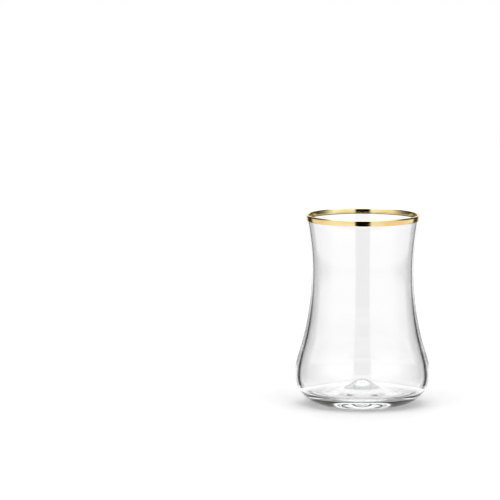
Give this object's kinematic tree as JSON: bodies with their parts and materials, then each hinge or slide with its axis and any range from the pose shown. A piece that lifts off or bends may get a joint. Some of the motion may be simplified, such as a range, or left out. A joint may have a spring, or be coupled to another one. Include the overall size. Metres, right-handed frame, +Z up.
{
  "type": "turkish tea glass",
  "caption": "Small waisted drinking glass of clear glass with a heavy domed foot, a flared mouth and a gilded lip, for serving hot tea.",
  "frame": {"origin": "centre of the resting ring, on the surface the glass stands on", "axes": "+Z up along the axis of the glass, from the foot to the lip; X and Y level, and alike by symmetry"},
  "size_m": [0.0612, 0.0612, 0.0861],
  "materials": {
    "clear_glass": "clear colourless, fire-polished",
    "gilding": "polished fired gold film"
  },
  "bodies": {
    "root": {"glass": "clear_glass", "gold_rim": "gilding"}
  },
  "joints": []
}
